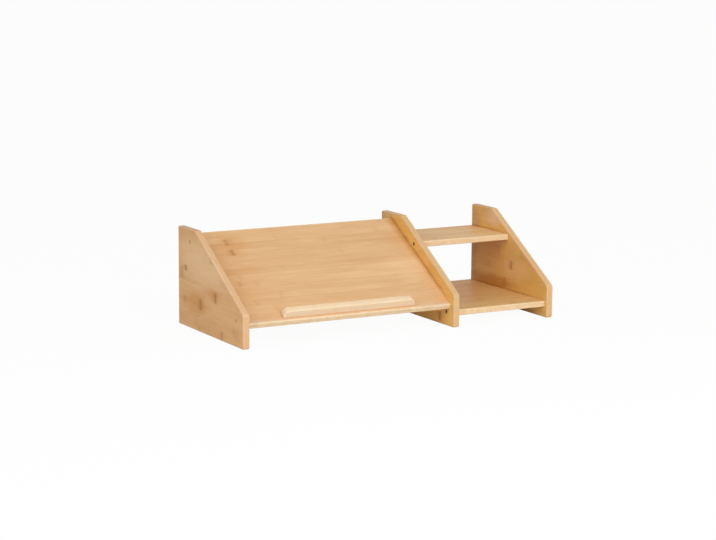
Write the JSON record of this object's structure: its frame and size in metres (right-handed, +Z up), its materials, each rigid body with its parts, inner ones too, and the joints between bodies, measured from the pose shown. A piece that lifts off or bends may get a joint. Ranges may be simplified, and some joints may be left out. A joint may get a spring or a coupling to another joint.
{
  "type": "laptop stand with shelves",
  "caption": "Free-standing bamboo laptop stand: a raked laptop board with a stop ledge between two sloping panels, and a bay of open shelves beside it.",
  "frame": {"origin": "on the desk, under the middle of the stand's width and depth", "axes": "+X to the user's right along the width, +Y to the rear, +Z up; the laptop faces -Y"},
  "size_m": [0.7, 0.291, 0.197],
  "materials": {
    "bamboo_panel": "satin",
    "bamboo_board": "satin",
    "bamboo_shelf": "satin",
    "bamboo_stop": "satin",
    "bamboo_plug": "satin",
    "dowel_wood": "matt",
    "screw_steel": "zinc plated"
  },
  "bodies": {
    "root": {"left_panel": "bamboo_panel", "middle_panel": "bamboo_panel", "right_panel": "bamboo_panel", "laptop_board": "bamboo_board", "laptop_stop": "bamboo_stop", "upper_shelf": "bamboo_shelf", "lower_shelf": "bamboo_shelf", "laptop_board_screws_left": "screw_steel", "laptop_board_dowel_left": "dowel_wood", "laptop_board_screws_right": "screw_steel", "laptop_board_dowel_right": "dowel_wood", "upper_shelf_screws_left": "screw_steel", "upper_shelf_screws_right": "screw_steel", "lower_shelf_screws_left": "screw_steel", "lower_shelf_dowel_left": "dowel_wood", "lower_shelf_screws_right": "screw_steel", "lower_shelf_dowel_right": "dowel_wood", "laptop_board_plugs_left": "bamboo_plug", "upper_shelf_plugs_right": "bamboo_plug", "lower_shelf_plugs_right": "bamboo_plug"}
  },
  "joints": []
}
